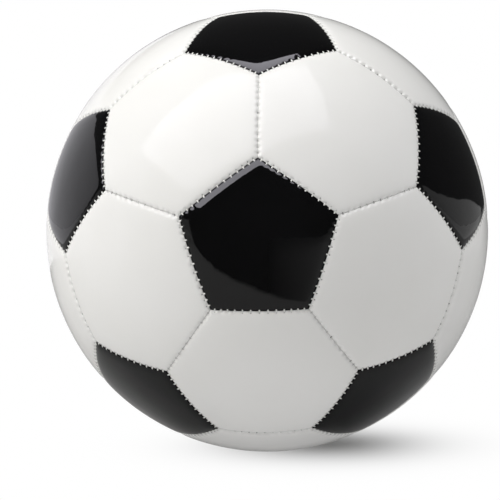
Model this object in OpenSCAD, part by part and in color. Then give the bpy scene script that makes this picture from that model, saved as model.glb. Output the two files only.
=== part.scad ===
// Thirty-two panel football: stitched panels with turned-in flanges, foam and cloth backing,
// seam thread, bladder and needle valve. The origin is the ball's centre and +Z is up. A black
// pentagon with one corner up is centred on -Y, and the valve is in the upper back hexagon.

/* [Ball] */
// Diameter of the pumped-up ball, from panel crown to panel crown
ball_d = 220; // [205:1:225]

/* [Panels] */
// Thickness of the coated outer skin
skin_t = 1.2; // [1:0.1:1.3]
// Thickness of the foam behind the skin
foam_t = 2.4; // [2.2:0.1:3]
// Thickness of the woven cloth behind the foam
lining_t = 0.6; // [0.4:0.1:1]
// Radius of the roll where a panel's skin turns in to the seam
roll_r = 2.6; // [2.2:0.1:2.8]
// Gap between the turned-in flanges of neighbouring panels
seam_gap = 0.3; // [0.2:0.05:0.5]

/* [Stitching] */
// Stitches along each seam
stitches = 13; // [8:1:14]
// Diameter of the thread where it crosses a seam
thread_d = 0.7; // [0.5:0.1:0.7]

/* [Bladder and valve] */
// Thickness of the rubber bladder
bladder_t = 0.8; // [0.6:0.1:1.2]
// Radius of the valve's stem, which shows in its panel's hole
stem_r = 4.5; // [4.2:0.1:6]
// Radius of the flange that bonds the valve to the bladder
flange_r = 14; // [11:0.5:18]
// Radius of the needle pocket in the valve's core
needle_r = 1; // [0.9:0.05:1.2]

/* [Hidden] */
$fn = 96;
skin_white = [0.93, 0.93, 0.91];
skin_black = [0.03, 0.03, 0.035];
foam_cream = [0.85, 0.80, 0.66];
cloth_grey = [0.74, 0.74, 0.71];
thread_white = [0.90, 0.90, 0.87];
rubber_black = [0.07, 0.07, 0.075];
rubber_grey = [0.22, 0.22, 0.23];

// Truncated icosahedron: angles at the ball's centre
root5 = sqrt(5);
pentagon_step = atan(2);                             // between neighbouring pentagons
hexagon_step = acos(root5 / 3);                      // between neighbouring hexagons
pole_to_hexagon = acos(sqrt((5 + 2 * root5) / 15));  // from a pentagon to the hexagons round it
far_hexagon = pole_to_hexagon + hexagon_step;        // from a pentagon to the next hexagons out
hexagon_side = hexagon_step / 2;                     // from a panel's centre to its sides
pentagon_side = pole_to_hexagon - hexagon_side;
seam_half = asin(2 / sqrt(58 + 18 * root5));         // from a seam's middle to its ends

// Radii of the layers, from the ball's centre
film = 0.02;                                         // left between layers that are bonded
past = 1;                                            // cutters run on past what they cut
ball_r = ball_d / 2;
foam_r = ball_r - skin_t;
lining_r = foam_r - foam_t;
shell_in_r = lining_r - lining_t;
bladder_gap = 0.1;
bladder_r = shell_in_r - bladder_gap;
bladder_in_r = bladder_r - bladder_t;

// Distances from a seam's plane
half_gap = seam_gap / 2;
flange_in = half_gap + skin_t;
run_t = 0.5;                                         // thickness of the thread along a flange
run_in = flange_in + film + run_t;
run_gap = 0.1;                                       // between that thread and the foam
foam_edge = run_in + run_gap;
roll_bite = 0.06;                                    // the roll's circle stands this far past its faces

// Stitches, from a seam's middle and the ball's centre
stitch_end = seam_half - 1;
stitch_rise = 0.1;                                   // above the middle of the roll
stitch_r = ball_r - roll_r + stitch_rise;
hole_d = thread_d + 2 * film;
run_w = thread_d + 0.2;                              // the run along a flange is pressed flat
run_end = stitch_end + 0.2;

// Seats: angle from the -Y panel's centre, angle round Y from +Z, and turn about its own axis
pentagon_seats = concat(
    [[0, 0, 0]],
    [for (k = [0:4]) [pentagon_step, 72 * k, 180]],
    [for (k = [0:4]) [180 - pentagon_step, 72 * k + 36, 0]],
    [[180, 0, 0]]
);
hexagon_seats = concat(
    [for (k = [0:4]) [pole_to_hexagon, 72 * k + 36, 30]],
    [for (k = [0:4]) [far_hexagon, 72 * k + 36, 30]],
    [for (k = [0:4]) [180 - far_hexagon, 72 * k, 30]],
    [for (k = [1:5]) [180 - pole_to_hexagon, 72 * k, 30]]
);
last_pentagon = len(pentagon_seats) - 1;
last_hexagon = len(hexagon_seats) - 1;
valve_hexagon = last_hexagon;

// Valve: heights along its axis from the ball's centre, and radii
valve_top = ball_r - 0.5;
flange_top = bladder_in_r - film;
flange_t = 1.2;
boss_bottom = flange_top - 12;
boss_r = stem_r + 1;
boss_bottom_r = stem_r - 0.5;
vent_r = 1.5;
core_top = valve_top - 0.4;
core_bottom = boss_bottom + 1.5;
core_r = 2.6;
core_chamfer = 0.8;
bead_z = core_bottom + 4;
bead_r = 1.3;
bead_reach = 0.7;
pocket_bottom = core_bottom + 6;
funnel_r = 1.7;
funnel_h = 0.8;
funnel_cut = 1.01 * funnel_h;                        // through the plug's face
slit_w = 2.4;
slit_t = 0.12;
slit_rise = 0.5;                                     // into the pocket
stem_clearance = 0.15;                               // round the stem in its panel
backing_clearance = 0.45;                            // round the stem in the foam and cloth

function two_digits(n) = str(n < 10 ? "0" : "", n);
function pentagon_name(i) = str("pentagon_panel_", two_digits(i + 1));
function hexagon_name(i) = i == valve_hexagon ? "valve_panel" : str("hexagon_panel_", two_digits(i + 1));
function unit(v) = v / norm(v);
function seat_axis(seat) = [sin(seat[0]) * sin(seat[1]), -cos(seat[0]), sin(seat[0]) * cos(seat[1])];
function neighbours(a, b) = abs(a * b - cos(hexagon_step)) < 0.001;

hexagon_axes = [for (seat = hexagon_seats) seat_axis(seat)];
hexagon_pairs = [for (i = [0:last_hexagon - 1], j = [i + 1:last_hexagon])
    if (neighbours(hexagon_axes[i], hexagon_axes[j])) [hexagon_axes[i], hexagon_axes[j]]];

// Puts what is modelled about +Z at its seat on the ball
module at_seat(seat)
    rotate([0, seat[1], 0]) rotate([90 - seat[0], 0, 0]) rotate([0, 0, 90 + seat[2]]) children();

// Seam frame at side k of a panel: +X out through the seam's middle, +Z square into the panel
module at_side(sides, side_angle, k)
    rotate([0, 0, (k + 0.5) * 360 / sides]) rotate([0, side_angle - 90, 0]) children();

// The same frame on the seam between two panels whose centres lie along a and b
module at_pair(a, b) {
    x = unit(a + b);
    z = unit(b - a);
    y = cross(z, x);
    multmatrix([[x[0], y[0], z[0], 0], [x[1], y[1], z[1], 0], [x[2], y[2], z[2], 0]]) children();
}

// Along a seam, in its frame
module at_stitches()
    for (k = [0:stitches - 1])
        rotate([0, 0, stitch_end * (2 * k / (stitches - 1) - 1)]) translate([stitch_r, 0, 0]) children();

// A sphere whose poles and seam lie away from the panel at +Z
module ball(r)
    rotate([0, 90, 0]) sphere(r);

module layer(outer_r, inner_r)
    difference() {
        ball(outer_r);
        ball(inner_r);
    }

// Pyramid from the ball's centre out through a panel, its sides set in from the seams' planes
module panel_cone(sides, side_angle, inset) {
    reach = 1.2 * ball_r;
    translate([0, 0, inset / sin(side_angle)])
        cylinder(h = reach, r1 = 0, r2 = reach * tan(side_angle) / cos(180 / sides), $fn = sides);
}

// What the roll along one seam takes off a panel's square edge, in the seam's frame
module roll_cutter() {
    span = 2 * seam_half + 4 * past;
    centre_r = ball_r + roll_bite - roll_r;
    centre_z = half_gap - roll_bite + roll_r;
    rotate([0, 0, -span / 2]) rotate_extrude(angle = span) difference() {
        translate([centre_r, -past]) square([roll_r + past, centre_z + past]);
        translate([centre_r, centre_z]) circle(roll_r);
    }
}

// A panel's skin with square edges: its crowned face, and a flange along each side
module skin_tray(sides, side_angle)
    difference() {
        intersection() {
            layer(ball_r, shell_in_r);
            panel_cone(sides, side_angle, half_gap);
        }
        intersection() {
            ball(foam_r);
            panel_cone(sides, side_angle, flange_in);
        }
    }

// The skin with its first done sides rolled and their flanges punched for the thread
module panel_skin(sides, side_angle, done)
    if (done == 0)
        skin_tray(sides, side_angle);
    else
        difference() {
            panel_skin(sides, side_angle, done - 1);
            at_side(sides, side_angle, done) roll_cutter();
            at_side(sides, side_angle, done) at_stitches() cylinder(h = flange_in + film, d = hole_d);
        }

module panel_layer(sides, side_angle, outer_r, inner_r, inset)
    intersection() {
        layer(outer_r, inner_r);
        panel_cone(sides, side_angle, inset);
    }

// Hole in the valve's panel and backing
module stem_hole(clearance)
    cylinder(h = 2 * ball_r, r = stem_r + clearance);

module pentagon_panel(seat)
    color(skin_black) at_seat(seat) panel_skin(5, pentagon_side, 5);

module hexagon_panel(seat)
    color(skin_white) at_seat(seat) panel_skin(6, hexagon_side, 6);

module valve_panel(seat)
    color(skin_white) at_seat(seat) difference() {
        panel_skin(6, hexagon_side, 6);
        stem_hole(stem_clearance);
    }

module pentagon_backing(outer_r, inner_r, inset)
    for (seat = pentagon_seats)
        at_seat(seat) panel_layer(5, pentagon_side, outer_r, inner_r, inset);

module hexagon_backing(outer_r, inner_r, inset)
    for (i = [0:last_hexagon])
        at_seat(hexagon_seats[i]) difference() {
            panel_layer(6, hexagon_side, outer_r, inner_r, inset);
            if (i == valve_hexagon) stem_hole(backing_clearance);
        }

module pentagon_foam()
    color(foam_cream) pentagon_backing(foam_r - film, lining_r, foam_edge);

module hexagon_foam()
    color(foam_cream) hexagon_backing(foam_r - film, lining_r, foam_edge);

module pentagon_lining()
    color(cloth_grey) pentagon_backing(lining_r - film, shell_in_r, flange_in + film);

module hexagon_lining()
    color(cloth_grey) hexagon_backing(lining_r - film, shell_in_r, flange_in + film);

// Thread of one seam: a stitch through each pair of holes, joined by a run along each flange
module seam_thread() {
    middle = (flange_in + run_in) / 2;
    at_stitches() translate([0, 0, -middle]) cylinder(h = 2 * middle, d = thread_d);
    for (z = [flange_in + film, -run_in])
        rotate([0, 0, -run_end]) rotate_extrude(angle = 2 * run_end)
            translate([stitch_r - run_w / 2, z]) square([run_w, run_t]);
}

module pentagon_seam_thread()
    color(thread_white)
        for (seat = pentagon_seats, k = [1:5])
            at_seat(seat) at_side(5, pentagon_side, k) seam_thread();

module hexagon_seam_thread()
    color(thread_white)
        for (pair = hexagon_pairs)
            at_pair(pair[0], pair[1]) seam_thread();

module bladder()
    color(rubber_black) at_seat(hexagon_seats[valve_hexagon]) difference() {
        layer(bladder_r, bladder_in_r);
        stem_hole(film);
    }

// Half outline of the valve's core, without its pocket
module core_outline(grow) {
    r = core_r + grow;
    bottom = core_bottom - grow;
    polygon([
        [0, bottom], [r - core_chamfer, bottom], [r, bottom + core_chamfer],
        [r, core_top], [0, core_top]
    ]);
    intersection() {
        translate([core_r + bead_reach - bead_r, bead_z]) circle(bead_r + grow);
        translate([0, core_bottom]) square([ball_r, ball_r]);
    }
}

// Moulded valve: a flange that bonds to the bladder, a stem out to the skin, and a boss inward
module valve_body()
    color(rubber_black) at_seat(hexagon_seats[valve_hexagon]) rotate_extrude() difference() {
        union() {
            translate([0, bladder_in_r - flange_t]) square([stem_r, valve_top - bladder_in_r + flange_t]);
            polygon([
                [0, boss_bottom], [boss_bottom_r, boss_bottom], [boss_r, flange_top - flange_t],
                [boss_r, flange_top - flange_t / 2], [0, flange_top - flange_t / 2]
            ]);
            intersection() {
                difference() {
                    circle(flange_top);
                    circle(flange_top - flange_t);
                }
                square([flange_r, ball_r]);
            }
        }
        core_outline(film);
        translate([0, core_top - past]) square([core_r + film, 2 * past]);
        translate([0, boss_bottom - past]) square([vent_r, core_bottom - boss_bottom + 2 * past]);
    }

// Soft plug in the valve: funnel, needle pocket, and the slit that closes behind a needle
module valve_core()
    color(rubber_grey) at_seat(hexagon_seats[valve_hexagon]) difference() {
        rotate_extrude() core_outline(0);
        translate([0, 0, pocket_bottom]) cylinder(h = ball_r, r = needle_r);
        translate([0, 0, core_top - funnel_h]) cylinder(h = funnel_cut, r1 = needle_r, r2 = funnel_r);
        translate([-slit_w / 2, -slit_t / 2, core_bottom - past])
            cube([slit_w, slit_t, pocket_bottom - core_bottom + past + slit_rise]);
    }

for (i = [0:last_pentagon])
    pentagon_panel(pentagon_seats[i]);
for (i = [0:last_hexagon - 1])
    hexagon_panel(hexagon_seats[i]);
valve_panel(hexagon_seats[valve_hexagon]);
pentagon_foam();
hexagon_foam();
pentagon_lining();
hexagon_lining();
pentagon_seam_thread();
hexagon_seam_thread();
bladder();
valve_body();
valve_core();
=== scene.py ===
import math

import bmesh
import bpy
from mathutils import Matrix, Quaternion, Vector
from mathutils.bvhtree import BVHTree


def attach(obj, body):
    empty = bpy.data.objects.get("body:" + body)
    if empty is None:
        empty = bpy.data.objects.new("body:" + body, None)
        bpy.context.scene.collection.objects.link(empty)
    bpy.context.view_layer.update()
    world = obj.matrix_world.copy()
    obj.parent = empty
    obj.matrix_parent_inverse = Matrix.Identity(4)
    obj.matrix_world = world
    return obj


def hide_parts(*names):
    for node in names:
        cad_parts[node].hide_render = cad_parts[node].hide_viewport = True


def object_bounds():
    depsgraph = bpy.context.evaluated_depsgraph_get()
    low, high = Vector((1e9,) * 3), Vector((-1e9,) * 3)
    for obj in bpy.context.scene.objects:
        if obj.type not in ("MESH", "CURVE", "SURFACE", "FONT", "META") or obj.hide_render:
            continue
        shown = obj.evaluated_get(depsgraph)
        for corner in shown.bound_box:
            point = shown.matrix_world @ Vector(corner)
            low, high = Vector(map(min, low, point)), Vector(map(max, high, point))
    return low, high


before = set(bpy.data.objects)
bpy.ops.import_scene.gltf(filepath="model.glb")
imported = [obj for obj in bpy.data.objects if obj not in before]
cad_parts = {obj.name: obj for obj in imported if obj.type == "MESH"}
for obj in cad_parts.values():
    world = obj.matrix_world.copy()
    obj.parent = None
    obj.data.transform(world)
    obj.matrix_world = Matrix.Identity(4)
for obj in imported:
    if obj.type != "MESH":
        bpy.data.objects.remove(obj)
cad_low, cad_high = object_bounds()

# Points of the object in the photograph's 500 x 500 frame: the corners where three
# panels meet.
PHOTO_W, PHOTO_H = 500, 500
PANEL_CORNERS = {
    "front_pentagon_top": (258.4, 158.9),
    "front_pentagon_right": (336.0, 215.8),
    "front_pentagon_lower_right": (310.8, 308.8),
    "front_pentagon_lower_left": (210.8, 308.8),
    "front_pentagon_left": (180.0, 216.6),
    "top_pentagon_corner": (256.3, 72.8),
    "right_pentagon_corner": (419.2, 188.6),
    "lower_right_pentagon_corner": (357.3, 370.2),
    "lower_left_pentagon_corner": (167.0, 371.7),
    "left_pentagon_corner": (102.4, 189.0),
}

# Camera, seen from the ball's centre
CAMERA_AZIMUTH = math.radians(2.06)
CAMERA_ELEVATION = math.radians(2.67)
CAMERA_DISTANCE = 0.911
CAMERA_ROLL = math.radians(-0.69)
CAMERA_LENS = 130.9
CAMERA_SENSOR = 36.0
CAMERA_AIM = Vector((-0.0086, 0.0, -0.0095))

# The ball and its panels, in metres
MM = 0.001
BALL_R = min((cad_high - cad_low) / 2)
SKIN = 0.6 * MM
FLANGE_DEPTH = 4.1 * MM
SEAM_HALF_GAP = 0.03 * MM
# Rows of a panel's net beside its seams, in millimetres from the seam
ROWS_FROM_SEAM = (0.4, 0.8, 1.25, 1.8, 2.5, 3.4, 4.6, 6.4, 9.4)
# The roll between face and flange: every edge sharper than the angle gets it
ROLL = 0.14 * MM
ROLL_SEGMENTS = 4
ROLLED_ANGLE = math.radians(60)
# How far the face drops at its seams, how far in that reaches on a panel of 5 or 6 sides, and how
# little two seams add up at a corner
PILLOW_DROP = 0.95 * MM
PILLOW_WIDTH = {5: 1.65 * MM, 6: 1.2 * MM}
CORNER_SHARPNESS = 3
# Slight unevenness of the faces: its depth and size, and from where it sets in over what width, in
# millimetres from the seam
UNEVENNESS = 0.16 * MM
UNEVENNESS_SIZE = 0.020
UNEVENNESS_START = 0.3
UNEVENNESS_FADE = 2

# Stitches along each seam: their number, the cells of the panel's net for each, how much they
# crowd towards the corners, and how far from the seam's end the last one is
STITCHES = 13
STITCH_CELLS = 4
STITCH_CROWDING = 0.05
STITCH_END_MARGIN = math.radians(1.1)
PHASE_STEPS = 6
# The thread of a stitch: how far it reaches on each side of the seam, and its radius and bend
STITCH_REACH = 0.85 * MM
THREAD_R = 0.40 * MM
THREAD_SIDES = 8
THREAD_BEND = 1.1 * MM
THREAD_BEND_STEPS = 6
# How far a stitch's thread runs below the ball's round, and leans to one side of the seam
PENTAGON_STITCH = (0.98 * MM, 0.36 * MM)
HEXAGON_STITCH = (1.55 * MM, 0.0)
# Puckers in the skin at each stitch, by the panel's number of sides
PUCKER_DROP = {5: 0.20 * MM, 6: 0.36 * MM}
PUCKER_OPEN = 0.03 * MM
PUCKER_WIDTH = 1.3 * MM
# On the seam map, stitches between two hexagons are counted from here
HEXAGON_SEAM = 4 * STITCHES

# Painted shade in the needle holes of the skins: distance from the seam on either kind, radius and
# soft edge, all in millimetres. Those beside a pentagon's seam are fainter.
PENTAGON_HOLE = 0.80
HEXAGON_HOLE = 0.20
HOLE_R = 0.20
HOLE_EDGE = 0.22
PENTAGON_HOLE_STRENGTH = 0.85
# Width of the pits that the stitches pull in the skins, in millimetres
PIT_WIDTH = 1.1

# Valve, as rings: radius and distance from the ball's centre, in millimetres. The hole's rings
# have their height from the ball's round instead.
VALVE_HOLE_RINGS = ((6.9, 0.0), (6.2, -0.02), (5.5, -0.08), (5.0, -0.2), (4.75, -0.4),
                    (4.66, -0.7), (4.65, -1.6))
VALVE_BODY_RINGS = ((2.62, 94.4), (1.8, 94.3), (1.8, 92.9), (3.8, 92.9), (4.0, 93.1), (5.4, 102.6),
                    (5.5, 103.4), (8.0, 103.4), (13.0, 102.8), (13.8, 102.9), (13.95, 103.3),
                    (13.9, 103.9), (10.0, 104.35), (5.2, 104.7), (4.6, 105.1), (4.5, 105.8),
                    (4.5, 109.1), (4.35, 109.35), (4.1, 109.45), (3.7, 109.45), (3.5, 109.3),
                    (3.1, 109.25), (2.8, 109.2), (2.62, 109.0))
VALVE_CORE_RINGS = ((0.4, 94.42), (1.8, 94.42), (2.4, 94.9), (2.6, 95.3), (2.6, 108.8),
                    (2.5, 109.0), (2.3, 109.08), (1.9, 109.05), (1.65, 108.95), (1.3, 108.6),
                    (1.05, 108.3), (1.0, 108.1), (1.0, 100.5), (0.4, 100.4))
VALVE_FACETS = 48
VALVE_CUT_MARGIN = 0.4
VALVE_SMOOTH_ANGLE = math.radians(50)

# Closer than this, points and angles count as the same
SAME_POINT = 0.005 * MM
SAME_ANGLE = math.radians(1)

# The two skins. Their gloss changes from the seam's to the face's between two distances from the
# seam, in millimetres.
BLACK_SKIN = {"colours": ((0.002, 0.002, 0.0022, 1), (0.003, 0.003, 0.0034, 1)),
              "roughness": 0.04, "gloss": 0.5, "seam_gloss": 0.03, "gloss_change": (0.35, 0.95),
              "pit_depth": 0.04 * MM}
WHITE_SKIN = {"colours": ((0.84, 0.835, 0.82, 1), (0.86, 0.855, 0.845, 1)),
              "roughness": 0.06, "gloss": 0.16, "seam_gloss": 0.32, "gloss_change": (1.0, 2.2),
              "pit_depth": 0.27 * MM}

# Colours, and how dust lightens a rubber's
WHITE = (1, 1, 1, 1)
# Painted shade: the dark colour that stands in for the shade inside the needle holes
HOLE_SHADE_COLOUR = (0.03, 0.03, 0.03, 1)
THREAD_COLOURS = ((0.70, 0.70, 0.67, 1), (0.86, 0.86, 0.83, 1))
FOAM_COLOURS = ((0.62, 0.56, 0.42, 1), (0.84, 0.80, 0.66, 1))
LINING_COLOURS = ((0.45, 0.45, 0.43, 1), (0.72, 0.72, 0.69, 1))
BLACK_RUBBER = (0.02, 0.02, 0.022, 1)
SOFT_RUBBER = (0.05, 0.05, 0.055, 1)
DUST_GAIN = 1.5
DUST_LIFT = 0.004

# The studio's floor, which is a white one for the camera: the place and reach of the grey on which
# it shows the ball's shadow
FLOOR_R = 6.0
FLOOR_SIDES = 96
SHADOW_SHIFT = (-0.58, -0.33, 0)
SHADOW_SCALE = (20.6, 21.5, 1)
SHADOW_GREY = 0.34
# For gloss the floor is a grey table. It ends at a slanting edge in front of the ball, which runs
# straight on from the corner, and it comes back at the right, between two values of x over the
# distance in front of the ball.
TABLE_GREY = 0.36
TABLE_EDGE = -0.27
TABLE_EDGE_SLANT = 0.95
TABLE_EDGE_BLUR = 0.01
TABLE_CORNER = 0.07
TABLE_SIDE = (0.05, 0.75)
# For matt surfaces the floor glows, and its glow fades out between two distances from its middle
FLOOR_GREY = 0.71
GLOW = 0.76
GLOW_REACH = (0.07, 0.19)
# The dim room that gloss shows, and the room that lights matt surfaces: in front of the ball,
# behind it, and where it changes
ROOM_IN_GLOSS = 0.045
ROOM_LIGHT = (0.24, 0.80)
ROOM_CHANGE = (-0.2, 0.6)
# Radiance of the two lamps that light matt surfaces
KEY_LIGHT = 3.88
FILL_LIGHT = 2.08
# Power of a rectangular light of one square metre and radiance 1
WATTS_PER_AREA = 4

# Truncated icosahedron: angles at the ball's centre
PENTAGON_STEP = math.atan(2)
HEXAGON_STEP = math.acos(math.sqrt(5) / 3)
POLE_TO_HEXAGON = math.acos(math.sqrt((5 + 2 * math.sqrt(5)) / 15))
FAR_HEXAGON = POLE_TO_HEXAGON + HEXAGON_STEP
HEXAGON_SIDE = HEXAGON_STEP / 2
PENTAGON_SIDE = POLE_TO_HEXAGON - HEXAGON_SIDE
SEAM_HALF = math.asin(2 / math.sqrt(58 + 18 * math.sqrt(5)))
FIFTH = math.radians(72)
# Half the angle that a seam's stitches take, and their pitch in millimetres
STITCH_END = SEAM_HALF - STITCH_END_MARGIN
STITCH_MM = 2 * STITCH_END / (STITCHES - 1) * BALL_R / MM


# --- Camera ------------------------------------------------------------------------------------

def direction(azimuth, elevation):
    """Unit vector from the ball's centre. Azimuth is from the front towards +X."""
    return Vector((math.sin(azimuth) * math.cos(elevation),
                   -math.cos(azimuth) * math.cos(elevation), math.sin(elevation)))


def add_camera():
    data = bpy.data.cameras.new("photo_camera")
    data.sensor_fit = "AUTO"
    data.sensor_width = CAMERA_SENSOR
    data.lens = CAMERA_LENS
    camera = bpy.data.objects.new("photo_camera", data)
    bpy.context.collection.objects.link(camera)
    camera.location = direction(CAMERA_AZIMUTH, CAMERA_ELEVATION) * CAMERA_DISTANCE
    looking = (CAMERA_AIM - camera.location).to_track_quat("-Z", "Y")
    camera.rotation_mode = "QUATERNION"
    camera.rotation_quaternion = looking @ Quaternion((0, 0, 1), CAMERA_ROLL)
    bpy.context.scene.camera = camera
    bpy.context.view_layer.update()
    return camera


# --- Panel seats -------------------------------------------------------------------------------

def seat(from_front, round_y, spin):
    """Turns what is modelled about +Z to its place on the ball."""
    return (Matrix.Rotation(round_y, 4, "Y")
            @ Matrix.Rotation(math.pi / 2 - from_front, 4, "X")
            @ Matrix.Rotation(math.pi / 2 + spin, 4, "Z"))


def pentagon_seats():
    half_turn = math.pi
    front = [seat(0, 0, 0)]
    front += [seat(PENTAGON_STEP, FIFTH * k, half_turn) for k in range(5)]
    back = [seat(math.pi - PENTAGON_STEP, FIFTH * (k + 0.5), 0) for k in range(5)]
    return front + back + [seat(math.pi, 0, 0)]


def hexagon_seats():
    """Each one's sides meet a pentagon and a hexagon by turns. The last one is the valve's."""
    near_spin, far_spin = math.radians(30), math.radians(90)
    seats = [seat(POLE_TO_HEXAGON, FIFTH * (k + 0.5), near_spin) for k in range(5)]
    seats += [seat(FAR_HEXAGON, FIFTH * (k + 0.5), far_spin) for k in range(5)]
    seats += [seat(math.pi - FAR_HEXAGON, FIFTH * k, near_spin) for k in range(5)]
    seats += [seat(math.pi - POLE_TO_HEXAGON, FIFTH * (k + 1), far_spin) for k in range(5)]
    return seats


def side_frames(sides, side_angle):
    """Seam frame at each side of a panel about +Z: out through the seam, along it and into the
    panel."""
    frames = []
    for k in range(sides):
        turn = (k + 0.5) * 2 * math.pi / sides
        around = Vector((math.cos(turn), math.sin(turn), 0))
        out = around * math.sin(side_angle) + Vector((0, 0, math.cos(side_angle)))
        inward = Vector((0, 0, math.sin(side_angle))) - around * math.cos(side_angle)
        frames.append((out, inward.cross(out), inward))
    return frames


def panel_corners():
    """The 60 places on the ball where three panels meet."""
    corners = []
    corner_angle = math.atan(math.tan(PENTAGON_SIDE) / math.cos(math.pi / 5))
    for place in pentagon_seats():
        for k in range(5):
            turn = k * FIFTH
            local = Vector((math.sin(corner_angle) * math.cos(turn),
                            math.sin(corner_angle) * math.sin(turn), math.cos(corner_angle)))
            corners.append(place @ (local * BALL_R))
    return corners


# --- Modelling helpers -------------------------------------------------------------------------

def select_only(piece):
    bpy.ops.object.select_all(action="DESELECT")
    piece.select_set(True)
    bpy.context.view_layer.objects.active = piece


def edit(piece):
    select_only(piece)
    bpy.ops.object.mode_set(mode="EDIT")


def leave_edit():
    bpy.ops.object.mode_set(mode="OBJECT")


def select_edges(piece, wanted):
    """Selects the edges that wanted(edge) picks, in edit mode."""
    mesh = bmesh.from_edit_mesh(piece.data)
    bpy.ops.mesh.select_mode(type="EDGE")
    # An edge that is deselected takes its ends with it, so this comes first
    for edge in mesh.edges:
        edge.select_set(False)
    for edge in mesh.edges:
        if wanted(edge):
            edge.select_set(True)
    mesh.select_flush_mode()
    bmesh.update_edit_mesh(piece.data)


def shrink(factor, centre=(0, 0, 0), flat=False):
    """Scales what is selected about a centre, and keeps its height if flat."""
    bpy.ops.transform.resize(value=(factor, factor, 1 if flat else factor),
                             center_override=centre)


def add_modifier(piece, kind, **settings):
    """Adds a modifier and applies it."""
    select_only(piece)
    modifier = piece.modifiers.new(kind.lower(), kind)
    for name, value in settings.items():
        setattr(modifier, name, value)
    bpy.ops.object.modifier_apply(modifier=modifier.name)


def apply_place(piece):
    select_only(piece)
    bpy.ops.object.transform_apply(location=True, rotation=True, scale=True)


def copy_at(pattern, name, place):
    piece = pattern.copy()
    piece.data = pattern.data.copy()
    piece.name = piece.data.name = name
    piece.data.transform(place)
    bpy.context.collection.objects.link(piece)
    return piece


def remove(pattern):
    bpy.data.objects.remove(pattern, do_unlink=True)


# --- Panels ------------------------------------------------------------------------------------

def panel_crown(sides, side_angle):
    """The panel's face as a net on the sphere: rows along the seams, and a grid in the middle."""
    apothem = BALL_R * math.tan(side_angle) - SEAM_HALF_GAP / math.cos(side_angle)
    middle = (0, 0, BALL_R)
    bpy.ops.mesh.primitive_circle_add(vertices=sides, radius=apothem / math.cos(math.pi / sides),
                                      location=middle, rotation=(0, 0, -math.pi / 2))
    piece = bpy.context.active_object
    apply_place(piece)
    edit(piece)
    cells_per_side = STITCHES * STITCH_CELLS
    bpy.ops.mesh.select_all(action="SELECT")
    bpy.ops.mesh.subdivide(number_cuts=cells_per_side - 1)
    bpy.ops.mesh.select_all(action="SELECT")
    reached = apothem
    for row in ROWS_FROM_SEAM:
        bpy.ops.mesh.extrude_edges_move()
        row_reach = apothem - row * MM
        shrink(row_reach / reached, middle, flat=True)
        reached = row_reach
    bpy.ops.mesh.fill_grid(span=cells_per_side, offset=0)
    leave_edit()
    add_modifier(piece, "CAST", cast_type="SPHERE", factor=1.0, size=BALL_R,
                 use_radius_as_size=False)
    return piece


def turn_in_edges(piece):
    """Extrudes the flanges along the seams' planes and rolls the edges between them and the
    face."""
    edit(piece)
    select_edges(piece, lambda e: e.is_boundary)
    bpy.ops.mesh.extrude_edges_move()
    shrink((BALL_R - FLANGE_DEPTH) / BALL_R)
    bpy.ops.mesh.select_all(action="SELECT")
    bpy.ops.mesh.normals_make_consistent(inside=False)
    select_edges(piece, lambda e: len(e.link_faces) == 2 and e.calc_face_angle(0) > ROLLED_ANGLE)
    bpy.ops.mesh.bevel(offset=ROLL, segments=ROLL_SEGMENTS, profile=0.5, affect="EDGES",
                       clamp_overlap=False)
    bpy.ops.mesh.select_all(action="SELECT")
    bpy.ops.mesh.normals_make_consistent(inside=False)
    leave_edit()


def stitch_angle(k):
    """Place of a stitch along its seam: they crowd a little towards the corners."""
    t = 2 * k / (STITCHES - 1) - 1
    return STITCH_END * (t + STITCH_CROWDING * math.sin(math.pi * t))


def stitch_phase(angle):
    """The number of the stitch at a place along the seam, with fractions between stitches: the
    inverse of stitch_angle, found step by step."""
    t = angle / STITCH_END
    for _ in range(PHASE_STEPS):
        miss = t + STITCH_CROWDING * math.sin(math.pi * t) - angle / STITCH_END
        t -= miss / (1 + STITCH_CROWDING * math.pi * math.cos(math.pi * t))
    return (t + 1) / 2 * (STITCHES - 1)


def seam_distances(co, frames):
    """Distance from each side's seam plane, the nearest side, and the angle along its seam."""
    reaches = [co.dot(inward) for out, along, inward in frames]
    side = reaches.index(min(reaches))
    out, along, inward = frames[side]
    return reaches, side, math.atan2(co.dot(along), co.dot(out))


def draw_in(piece, frames):
    """Drops the face towards its seams and puckers it at the stitches. Keeps the seam map, which
    is stitch number and distance from the seam, and the group of the face without its edges."""
    width, pucker = PILLOW_WIDTH[len(frames)], PUCKER_DROP[len(frames)]
    seam_map = piece.data.uv_layers.new(name="seam_map")
    face = piece.vertex_groups.new(name="face")
    where = []
    for vertex in piece.data.vertices:
        reaches, side, angle = seam_distances(vertex.co, frames)
        inward, reach = frames[side][2], min(reaches)
        phase = stitch_phase(angle)
        between_hexagons = len(frames) == 6 and side % 2 == 1
        where.append((phase + (HEXAGON_SEAM if between_hexagons else 0), reach / MM))
        fade = (reach / MM - UNEVENNESS_START) / UNEVENNESS_FADE
        face.add([vertex.index], min(1.0, max(0.0, fade)), "REPLACE")
        fall = sum(math.exp(-CORNER_SHARPNESS * r / width) for r in reaches)
        drop = PILLOW_DROP * fall ** (1 / CORNER_SHARPNESS)
        on_row = -0.5 <= phase <= STITCHES - 0.5
        pull = (0.5 + 0.5 * math.cos(2 * math.pi * phase)) ** 2 if on_row else 0.0
        pull *= math.exp(-(reach / PUCKER_WIDTH) ** 2)
        vertex.co += (inward * PUCKER_OPEN * pull
                      - vertex.co.normalized() * (drop + pucker * pull))
    for loop in piece.data.loops:
        seam_map.data[loop.index].uv = where[loop.vertex_index]


def height_on_ball(radius):
    """Height of the ball's round at a distance from the axis, both in millimetres."""
    return math.sqrt((BALL_R / MM) ** 2 - radius ** 2)


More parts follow.
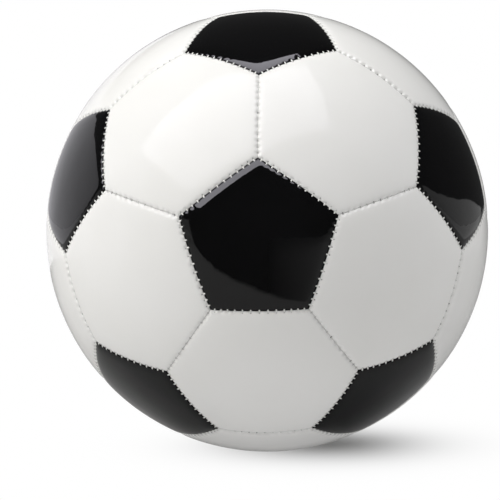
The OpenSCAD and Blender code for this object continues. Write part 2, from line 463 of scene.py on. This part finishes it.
def cut_valve_hole(piece):
    """Opens a round hole in the middle of the panel and turns its lip in."""
    start, _ = VALVE_HOLE_RINGS[0]
    edit(piece)
    mesh = bmesh.from_edit_mesh(piece.data)
    bpy.ops.mesh.select_mode(type="FACE")
    for face in mesh.faces:
        middle = face.calc_center_median()
        face.select_set(math.hypot(middle.x, middle.y) < (start - VALVE_CUT_MARGIN) * MM)
    bmesh.update_edit_mesh(piece.data)
    bpy.ops.mesh.delete(type="FACE")
    near_hole = 2 * start * MM
    select_edges(piece, lambda e: e.is_boundary and e.verts[0].co.xy.length < near_hole)
    mesh = bmesh.from_edit_mesh(piece.data)
    for vertex in mesh.verts:
        if vertex.select:
            vertex.co.xy *= start * MM / vertex.co.xy.length
            vertex.co.z = math.sqrt(BALL_R ** 2 - vertex.co.xy.length_squared)
    bmesh.update_edit_mesh(piece.data)
    for (r0, fall0), (r1, fall1) in zip(VALVE_HOLE_RINGS, VALVE_HOLE_RINGS[1:]):
        rise = height_on_ball(r1) - height_on_ball(r0) + fall1 - fall0
        bpy.ops.mesh.extrude_edges_move()
        shrink(r1 / r0, flat=True)
        bpy.ops.transform.translate(value=(0, 0, rise * MM))
    leave_edit()


def model_panel(name, sides, side_angle, with_valve=False):
    piece = panel_crown(sides, side_angle)
    piece.name = name
    turn_in_edges(piece)
    if with_valve:
        cut_valve_hole(piece)
    draw_in(piece, side_frames(sides, side_angle))
    return piece


def finish_panel(piece, skin, unevenness):
    """Gives one placed panel its own slight unevenness, its thickness and its finish."""
    add_modifier(piece, "DISPLACE", texture=unevenness, texture_coords="GLOBAL", mid_level=1.0,
                 strength=UNEVENNESS, vertex_group="face")
    add_modifier(piece, "SOLIDIFY", thickness=SKIN, offset=-1.0)
    select_only(piece)
    bpy.ops.object.shade_smooth()
    piece.data.materials.append(skin)


def new_unevenness():
    texture = bpy.data.textures.new("unevenness", "CLOUDS")
    texture.noise_scale = UNEVENNESS_SIZE
    texture.noise_depth = 1
    return texture


def add_panels(black_skin, white_skin):
    unevenness = new_unevenness()
    covers = []
    pattern = model_panel("pentagon_pattern", 5, PENTAGON_SIDE)
    for i, place in enumerate(pentagon_seats(), 1):
        piece = copy_at(pattern, f"pentagon_cover_{i:02d}", place)
        finish_panel(piece, black_skin, unevenness)
        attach(piece, "root")
        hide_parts(f"pentagon_panel_{i:02d}")
        covers.append(piece)
    remove(pattern)
    pattern = model_panel("hexagon_pattern", 6, HEXAGON_SIDE)
    valve_pattern = model_panel("valve_pattern", 6, HEXAGON_SIDE, with_valve=True)
    seats = hexagon_seats()
    for i, place in enumerate(seats, 1):
        has_valve = i == len(seats)
        node = "valve_panel" if has_valve else f"hexagon_panel_{i:02d}"
        name = node.replace("panel", "cover")
        piece = copy_at(valve_pattern if has_valve else pattern, name, place)
        finish_panel(piece, white_skin, unevenness)
        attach(piece, "root")
        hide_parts(node)
        covers.append(piece)
    remove(pattern)
    remove(valve_pattern)
    return covers


# --- Stitches ----------------------------------------------------------------------------------

def seam_places():
    """Seam frames: of the 60 seams round the pentagons, and of the 30 between hexagons."""
    pentagon_seams = []
    for place in pentagon_seats():
        for out, along, inward in side_frames(5, PENTAGON_SIDE):
            local = Matrix((out, along, inward)).transposed().to_4x4()
            pentagon_seams.append(place @ local)
    axes = [place @ Vector((0, 0, 1)) for place in hexagon_seats()]
    hexagon_seams = []
    for i, a in enumerate(axes):
        for b in axes[i + 1:]:
            if abs(a.angle(b) - HEXAGON_STEP) < SAME_ANGLE:
                out, inward = (a + b).normalized(), (b - a).normalized()
                local = Matrix((out, inward.cross(out), inward)).transposed()
                hexagon_seams.append(local.to_4x4())
    return pentagon_seams, hexagon_seams


def model_stitch(depth, lean):
    """One stitch in the seam frame: a thread that arches over the seam and dives into each
    side."""
    angle = 2 * math.asin(STITCH_REACH / THREAD_BEND)
    top = BALL_R - depth
    bpy.ops.mesh.primitive_circle_add(vertices=THREAD_SIDES, radius=THREAD_R, fill_type="NGON",
                                      location=(top, 0, lean))
    piece = bpy.context.active_object
    apply_place(piece)
    edit(piece)
    bpy.ops.mesh.select_all(action="SELECT")
    centre = (top - THREAD_BEND, 0, lean)
    bpy.ops.transform.rotate(value=angle / 2, orient_axis="Y", center_override=centre)
    bpy.ops.mesh.spin(steps=THREAD_BEND_STEPS, angle=-angle, center=centre, axis=(0, 1, 0))
    bpy.ops.mesh.select_all(action="SELECT")
    bpy.ops.mesh.normals_make_consistent(inside=False)
    leave_edit()
    bpy.ops.object.shade_smooth()
    return piece


def add_stitches(name, node, seams, form, thread):
    """All stitches of these seams as one piece."""
    pattern = model_stitch(*form)
    mesh = bmesh.new()
    for seam in seams:
        for k in range(STITCHES):
            place = seam @ Matrix.Rotation(stitch_angle(k), 4, "Z")
            first = len(mesh.verts)
            mesh.from_mesh(pattern.data)
            mesh.verts.ensure_lookup_table()
            bmesh.ops.transform(mesh, matrix=place, verts=mesh.verts[first:])
    data = bpy.data.meshes.new(name)
    mesh.to_mesh(data)
    mesh.free()
    piece = bpy.data.objects.new(name, data)
    bpy.context.collection.objects.link(piece)
    data.materials.append(thread)
    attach(piece, "root")
    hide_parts(node)
    remove(pattern)


# --- Valve -------------------------------------------------------------------------------------

def turned(name, rings, close_ends):
    """A moulded round piece about +Z: a ring extruded from one radius and height to the next."""
    radius, height = rings[0]
    bpy.ops.mesh.primitive_circle_add(vertices=VALVE_FACETS, radius=radius * MM,
                                      fill_type="NGON" if close_ends else "NOTHING",
                                      location=(0, 0, height * MM))
    piece = bpy.context.active_object
    piece.name = name
    apply_place(piece)
    edit(piece)
    for next_radius, next_height in rings[1:] + (() if close_ends else rings[:1]):
        if close_ends:
            bpy.ops.mesh.extrude_region_move()
        else:
            bpy.ops.mesh.extrude_edges_move()
        shrink(next_radius / radius, flat=True)
        bpy.ops.transform.translate(value=(0, 0, (next_height - height) * MM))
        radius, height = next_radius, next_height
    bpy.ops.mesh.select_all(action="SELECT")
    bpy.ops.mesh.remove_doubles(threshold=SAME_POINT)
    bpy.ops.mesh.normals_make_consistent(inside=False)
    leave_edit()
    return piece


def add_valve(rubber, soft_rubber):
    place = hexagon_seats()[-1]
    for name, node, slot, rings, close_ends, finish in (
            ("valve_moulding", "valve_body", "valve", VALVE_BODY_RINGS, False, rubber),
            ("valve_plug", "valve_core", "valve_core", VALVE_CORE_RINGS, True, soft_rubber)):
        piece = turned(name, rings, close_ends)
        piece.data.transform(place)
        select_only(piece)
        bpy.ops.object.shade_smooth_by_angle(angle=VALVE_SMOOTH_ANGLE)
        piece.data.materials.append(finish)
        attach(piece, "root")
        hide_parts(node)


# --- Materials ---------------------------------------------------------------------------------

class Nodes:
    """A node tree, with short ways to add nodes and join them."""

    def __init__(self, tree):
        self.tree = tree
        self.coordinates = self.add("ShaderNodeTexCoord").outputs

    def fill(self, node, inputs):
        """Sets each input, or joins it to the output that is given for it."""
        for key, value in inputs.items():
            if isinstance(value, bpy.types.NodeSocket):
                self.tree.links.new(value, node.inputs[key])
            else:
                node.inputs[key].default_value = value

    def add(self, kind, inputs=None, **settings):
        node = self.tree.nodes.new(kind)
        for name, value in settings.items():
            setattr(node, name, value)
        self.fill(node, inputs or {})
        return node

    def principled(self, inputs):
        self.fill(self.tree.nodes["Principled BSDF"], inputs)

    def replace_surface(self, default, output, surface):
        """Shows a shader in place of the one that the tree starts with."""
        self.tree.nodes.remove(self.tree.nodes[default])
        self.fill(self.tree.nodes[output], {"Surface": surface})

    def math(self, operation, *values):
        return self.add("ShaderNodeMath", dict(enumerate(values)), operation=operation).outputs[0]

    def product(self, first, *others):
        for other in others:
            first = self.math("MULTIPLY", first, other)
        return first

    def bell(self, value):
        """1 where the value is 0, falling to almost 0 where it is 2."""
        return self.math("EXPONENT", self.product(self.math("POWER", value, 2.0), -1.0))

    def length(self, vector):
        node = self.add("ShaderNodeVectorMath", {0: vector}, operation="LENGTH")
        return node.outputs["Value"]

    def parts(self, vector):
        return self.add("ShaderNodeSeparateXYZ", {"Vector": vector}).outputs

    def ramp(self, value, low, high, to_low=0.0, to_high=1.0):
        node = self.add("ShaderNodeMapRange", {"Value": value, "From Min": low, "From Max": high,
                                               "To Min": to_low, "To Max": to_high})
        return node.outputs["Result"]

    def either(self, switch, off, on):
        """The first value where the switch is 0, the second where it is 1."""
        return self.ramp(switch, 0.0, 1.0, off, on)

    def noise(self, scale, detail=2.0):
        node = self.add("ShaderNodeTexNoise", {"Vector": self.coordinates["Object"],
                                               "Scale": scale, "Detail": detail})
        return node.outputs["Fac"]

    def cells(self, scale, **settings):
        node = self.add("ShaderNodeTexVoronoi", {"Vector": self.coordinates["Object"],
                                                 "Scale": scale}, **settings)
        return node.outputs["Distance"]

    def bump(self, height, strength, distance, under=None, **settings):
        """The normal of a bump that lies on top of another one."""
        inputs = {"Height": height, "Strength": strength, "Distance": distance}
        if under is not None:
            inputs["Normal"] = under
        return self.add("ShaderNodeBump", inputs, **settings).outputs["Normal"]

    def mix(self, factor, first, second):
        node = self.add("ShaderNodeMix", {0: factor, 6: first, 7: second}, data_type="RGBA")
        return node.outputs[2]

    def mix_shader(self, factor, first, second):
        return self.add("ShaderNodeMixShader", {0: factor, 1: first, 2: second}).outputs[0]

    def matt(self, grey):
        return self.add("ShaderNodeBsdfDiffuse", {"Color": (grey, grey, grey, 1)}).outputs[0]

    def glow(self, strength):
        return self.add("ShaderNodeEmission", {"Color": WHITE, "Strength": strength}).outputs[0]

    def background(self, strength):
        return self.add("ShaderNodeBackground", {"Color": WHITE, "Strength": strength}).outputs[0]


def new_material(name):
    material = bpy.data.materials.new(name)
    material.use_nodes = True
    return material, Nodes(material.node_tree)


def seam_row(nodes):
    """From the panels' seam map: stitch number, distance from the seam in millimetres, whether the
    seam is between two hexagons, the nearest stitch, and whether the row has that stitch."""
    seam = nodes.parts(nodes.add("ShaderNodeUVMap", uv_map="seam_map").outputs["UV"])
    at_hexagon = nodes.math("GREATER_THAN", seam["X"], HEXAGON_SEAM / 2)
    stitch = nodes.math("SUBTRACT", seam["X"], nodes.product(at_hexagon, HEXAGON_SEAM))
    nearest = nodes.math("ROUND", stitch)
    from_middle = nodes.math("ABSOLUTE", nodes.math("SUBTRACT", nearest, (STITCHES - 1) / 2))
    on_row = nodes.math("LESS_THAN", from_middle, STITCHES / 2)
    return {"stitch": stitch, "reach": seam["Y"], "at_hexagon": at_hexagon, "nearest": nearest,
            "on_row": on_row}


def needle_hole_shade(nodes, row):
    """1 in the needle holes that the stitches enter by, where their shade is painted into the
    skin's colour. Some of them are more open than others, with more painted shade.
    """
    along = nodes.product(nodes.math("SUBTRACT", row["stitch"], row["nearest"]), STITCH_MM)
    hole_reach = nodes.either(row["at_hexagon"], PENTAGON_HOLE, HEXAGON_HOLE)
    across = nodes.math("SUBTRACT", row["reach"], hole_reach)
    away = nodes.math("SQRT", nodes.math("ADD", nodes.math("POWER", along, 2.0),
                                         nodes.math("POWER", across, 2.0)))
    inside = nodes.ramp(away, HOLE_R, HOLE_R + HOLE_EDGE, to_low=1.0, to_high=0.0)
    openness = nodes.ramp(nodes.noise(scale=130.0), low=0.38, high=0.65, to_low=0.05,
                          to_high=0.95)
    strength = nodes.either(row["at_hexagon"], PENTAGON_HOLE_STRENGTH, 1.0)
    return nodes.product(inside, row["on_row"], openness, strength)


def pulled_in(nodes, row):
    """1 where a stitch pulls the skin in, 0 halfway between stitches and away from the seam."""
    wave = nodes.math("COSINE", nodes.product(row["stitch"], 2 * math.pi))
    near = nodes.bell(nodes.math("DIVIDE", row["reach"], PIT_WIDTH))
    return nodes.product(nodes.ramp(wave, low=-1.0, high=1.0), near, row["on_row"])


def coated_skin(name, colours, roughness, gloss, seam_gloss, gloss_change, pit_depth):
    """Coated synthetic leather: a fine grain under a smooth coat, whose gloss changes beside the
    seams, with pits at the stitches and painted shade in their needle holes."""
    material, nodes = new_material(name)
    row = seam_row(nodes)
    clouds = nodes.ramp(nodes.noise(scale=18.0), low=0.35, high=0.65)
    coat = nodes.mix(clouds, *colours)
    smears = nodes.noise(scale=45.0, detail=4.0)
    grain = nodes.bump(nodes.cells(scale=1400.0, feature="SMOOTH_F1"), strength=0.015,
                       distance=0.2 * MM)
    peel = nodes.bump(nodes.noise(scale=160.0), strength=0.05, distance=0.5 * MM, under=grain)
    pits = nodes.bump(pulled_in(nodes, row), strength=1.0, distance=pit_depth, under=peel,
                      invert=True)
    nodes.principled({
        # Painted shade: the coat's colour turns dark in the needle holes
        "Base Color": nodes.mix(needle_hole_shade(nodes, row), coat, HOLE_SHADE_COLOUR),
        "Roughness": nodes.ramp(smears, low=0.3, high=0.7, to_low=0.8 * roughness,
                                to_high=1.3 * roughness),
        "Specular IOR Level": nodes.ramp(row["reach"], *gloss_change, seam_gloss, gloss),
        "IOR": 1.5,
        "Normal": pits,
    })
    return material


def waxed_thread():
    material, nodes = new_material("waxed_thread")
    fibres = nodes.noise(scale=2500.0, detail=3.0)
    nodes.principled({
        "Base Color": nodes.mix(nodes.ramp(fibres, low=0.3, high=0.7), *THREAD_COLOURS),
        "Roughness": 0.45,
        "Normal": nodes.bump(fibres, strength=0.4, distance=0.1 * MM),
    })
    return material


def plain_rubber(name, colour, roughness):
    material, nodes = new_material(name)
    dust = nodes.noise(scale=300.0, detail=3.0)
    dusty = tuple(c * DUST_GAIN + DUST_LIFT for c in colour[:3]) + (1,)
    nodes.principled({
        "Base Color": nodes.mix(nodes.ramp(dust, low=0.4, high=0.7), colour, dusty),
        "Roughness": nodes.ramp(dust, low=0.3, high=0.7, to_low=0.85 * roughness,
                                to_high=1.1 * roughness),
        "Normal": nodes.bump(dust, strength=0.1, distance=0.1 * MM),
    })
    return material


def backing_foam():
    material, nodes = new_material("backing_foam")
    cells = nodes.cells(scale=1200.0)
    nodes.principled({
        "Base Color": nodes.mix(cells, *FOAM_COLOURS),
        "Roughness": 0.9,
        "Normal": nodes.bump(cells, strength=0.5, distance=0.3 * MM),
    })
    return material


def woven_lining():
    material, nodes = new_material("woven_lining")
    waves = {"Vector": nodes.coordinates["Object"], "Scale": 500.0, "Distortion": 0.4}
    threads = [nodes.add("ShaderNodeTexWave", waves, bands_direction=way).outputs["Fac"]
               for way in ("X", "Z")]
    weave = nodes.math("MAXIMUM", *threads)
    nodes.principled({
        "Base Color": nodes.mix(weave, *LINING_COLOURS),
        "Roughness": 0.85,
        "Normal": nodes.bump(weave, strength=0.6, distance=0.2 * MM),
    })
    return material


def dress_inner_nodes():
    """The backing layers and the bladder keep their CAD shapes."""
    foam, lining = backing_foam(), woven_lining()
    bladder = plain_rubber("butyl_bladder", BLACK_RUBBER, roughness=0.6)
    finishes = {"pentagon_foam": foam, "hexagon_foam": foam, "pentagon_lining": lining,
                "hexagon_lining": lining, "bladder": bladder}
    for node, material in finishes.items():
        data = bpy.data.objects[node].data
        data.materials.clear()
        data.materials.append(material)


# --- Studio ------------------------------------------------------------------------------------

def floor_seen(nodes):
    """What the camera sees: white, with the ball's shadow round the place where it rests."""
    place = nodes.add("ShaderNodeMapping", {"Vector": nodes.coordinates["Object"],
                                            "Location": SHADOW_SHIFT, "Scale": SHADOW_SCALE})
    near = nodes.bell(nodes.length(place.outputs[0]))
    far = nodes.math("SUBTRACT", 1.0, near)
    return nodes.mix_shader(far, nodes.matt(SHADOW_GREY), nodes.glow(1.0))


def floor_mirrored(nodes):
    """What the glossy panels see: a grey table that ends in front of the ball, in a dim room."""
    place = nodes.parts(nodes.coordinates["Object"])
    slant = nodes.product(nodes.math("MINIMUM", place["X"], TABLE_CORNER), TABLE_EDGE_SLANT)
    behind_edge = nodes.ramp(nodes.math("SUBTRACT", place["Y"], slant),
                             TABLE_EDGE - TABLE_EDGE_BLUR, TABLE_EDGE + TABLE_EDGE_BLUR)
    in_front = nodes.math("MAXIMUM", nodes.product(place["Y"], -1.0), MM)
    at_right = nodes.ramp(nodes.math("DIVIDE", place["X"], in_front), *TABLE_SIDE)
    on_table = nodes.math("MAXIMUM", behind_edge, at_right)
    return nodes.mix_shader(on_table, nodes.glow(ROOM_IN_GLOSS), nodes.matt(TABLE_GREY))


def floor_below(nodes):
    """What lights the ball from below: a floor that glows near the place where it rests."""
    no_glow = nodes.ramp(nodes.length(nodes.coordinates["Object"]), *GLOW_REACH)
    return nodes.mix_shader(no_glow, nodes.glow(GLOW), nodes.matt(FLOOR_GREY))


def add_floor():
    bpy.ops.mesh.primitive_circle_add(vertices=FLOOR_SIDES, radius=FLOOR_R, fill_type="NGON",
                                      location=(0, 0, cad_low.z))
    floor = bpy.context.active_object
    floor.name = "studio_floor"
    apply_place(floor)
    material, nodes = new_material("studio_floor")
    path = nodes.add("ShaderNodeLightPath").outputs
    bounce = nodes.mix_shader(path["Is Glossy Ray"], floor_below(nodes), floor_mirrored(nodes))
    shown = nodes.mix_shader(path["Is Camera Ray"], bounce, floor_seen(nodes))
    nodes.replace_surface("Principled BSDF", "Material Output", shown)
    floor.data.materials.append(material)


def add_world():
    """White behind everything for the camera, a dim room for what the ball mirrors, and for matt
    surfaces a room that is brighter behind the ball."""
    world = bpy.data.worlds.new("studio")
    bpy.context.scene.world = world
    world.use_nodes = True
    nodes = Nodes(world.node_tree)
    path = nodes.add("ShaderNodeLightPath").outputs
    behind = nodes.ramp(nodes.parts(nodes.coordinates["Generated"])["Y"], *ROOM_CHANGE)
    room = nodes.mix_shader(behind, *map(nodes.background, ROOM_LIGHT))
    light = nodes.mix_shader(path["Is Glossy Ray"], room, nodes.background(ROOM_IN_GLOSS))
    shown = nodes.mix_shader(path["Is Camera Ray"], light, nodes.background(1.0))
    nodes.replace_surface("Background", "World Output", shown)


def add_lamp(name, azimuth, elevation, turn, distance, size, radiance, in_gloss,
             colour=(1, 1, 1)):
    """A rectangular light that faces the ball and either shows in gloss or lights matt surfaces.
    Angles are in degrees."""
    data = bpy.data.lights.new(name, "AREA")
    data.shape = "RECTANGLE"
    data.size, data.size_y = size
    data.energy = radiance * WATTS_PER_AREA * size[0] * size[1]
    data.color = colour
    lamp = bpy.data.objects.new(name, data)
    bpy.context.collection.objects.link(lamp)
    away = direction(math.radians(azimuth), math.radians(elevation))
    lamp.location = away * distance
    lamp.rotation_mode = "QUATERNION"
    lamp.rotation_quaternion = ((-away).to_track_quat("-Z", "Y")
                                @ Quaternion((0, 0, 1), math.radians(turn)))
    lamp.visible_camera = False
    lamp.visible_glossy = in_gloss
    lamp.visible_diffuse = not in_gloss


def add_lights():
    add_lamp("softbox_in_gloss", azimuth=-25.2, elevation=60.3, turn=46.2, distance=1.2,
             size=(1.89, 1.03), radiance=3.7, in_gloss=True, colour=(0.94, 0.92, 1.0))
    add_lamp("left_wall_in_gloss", azimuth=-128, elevation=9, turn=0, distance=0.9,
             size=(1.45, 0.58), radiance=0.5, in_gloss=True, colour=(0.96, 0.95, 1.0))
    add_lamp("left_card_in_gloss", azimuth=-62, elevation=-4, turn=0, distance=1.5,
             size=(1.2, 0.75), radiance=0.25, in_gloss=True)
    add_lamp("right_card_in_gloss", azimuth=108, elevation=-2, turn=-10, distance=0.9,
             size=(1.3, 0.33), radiance=0.26, in_gloss=True)
    add_lamp("key_light", azimuth=-60, elevation=45, turn=0, distance=1.3,
             size=(0.9, 0.9), radiance=KEY_LIGHT, in_gloss=False, colour=(1.0, 0.99, 0.965))
    add_lamp("fill_light", azimuth=70, elevation=60, turn=0, distance=1.3,
             size=(0.9, 0.9), radiance=FILL_LIGHT, in_gloss=False)


# --- Where things show -------------------------------------------------------------------------


def tree_of(covers):
    mesh = bmesh.new()
    for piece in covers:
        mesh.from_mesh(piece.data)
    tree = BVHTree.FromBMesh(mesh)
    mesh.free()
    return tree


def place_in_view(camera, tree, point):
    """Where the ray through an image point meets the finished panels, or the place nearest it."""
    data = camera.data
    long_side = max(PHOTO_W, PHOTO_H)
    ray = Vector((point[0] - PHOTO_W / 2 + data.shift_x * long_side,
                  PHOTO_H / 2 - point[1] + data.shift_y * long_side,
                  -long_side * data.lens / data.sensor_width))
    start = camera.matrix_world.translation
    ray = (camera.matrix_world.to_3x3() @ ray).normalized()
    hit = tree.ray_cast(start, ray)[0]
    if hit is None or hit.length < BALL_R - FLANGE_DEPTH:
        closest = ray.dot(-start)
        closest -= math.sqrt(max(0.0, closest ** 2 - start.length_squared + BALL_R ** 2))
        hit = tree.find_nearest(start + ray * closest)[0]
    return hit


def write_points(camera, covers):
    """Finds where the ray through each panel corner's image point meets the finished panels."""
    tree = tree_of(covers)
    corners = [corner.normalized() * (BALL_R - PILLOW_DROP) for corner in panel_corners()]
    for name, point in PANEL_CORNERS.items():
        seen = place_in_view(camera, tree, point)


camera = add_camera()
black_skin = coated_skin("black_coated_skin", **BLACK_SKIN)
white_skin = coated_skin("white_coated_skin", **WHITE_SKIN)
covers = add_panels(black_skin, white_skin)
thread = waxed_thread()
pentagon_seams, hexagon_seams = seam_places()
add_stitches("pentagon_seam_stitches", "pentagon_seam_thread", pentagon_seams,
             PENTAGON_STITCH, thread)
add_stitches("hexagon_seam_stitches", "hexagon_seam_thread", hexagon_seams,
             HEXAGON_STITCH, thread)
add_valve(plain_rubber("valve_rubber", BLACK_RUBBER, roughness=0.4),
          plain_rubber("valve_plug_rubber", SOFT_RUBBER, roughness=0.45))
dress_inner_nodes()
add_floor()
add_world()
add_lights()
bpy.context.scene.view_settings.view_transform = "Standard"
write_points(camera, covers)
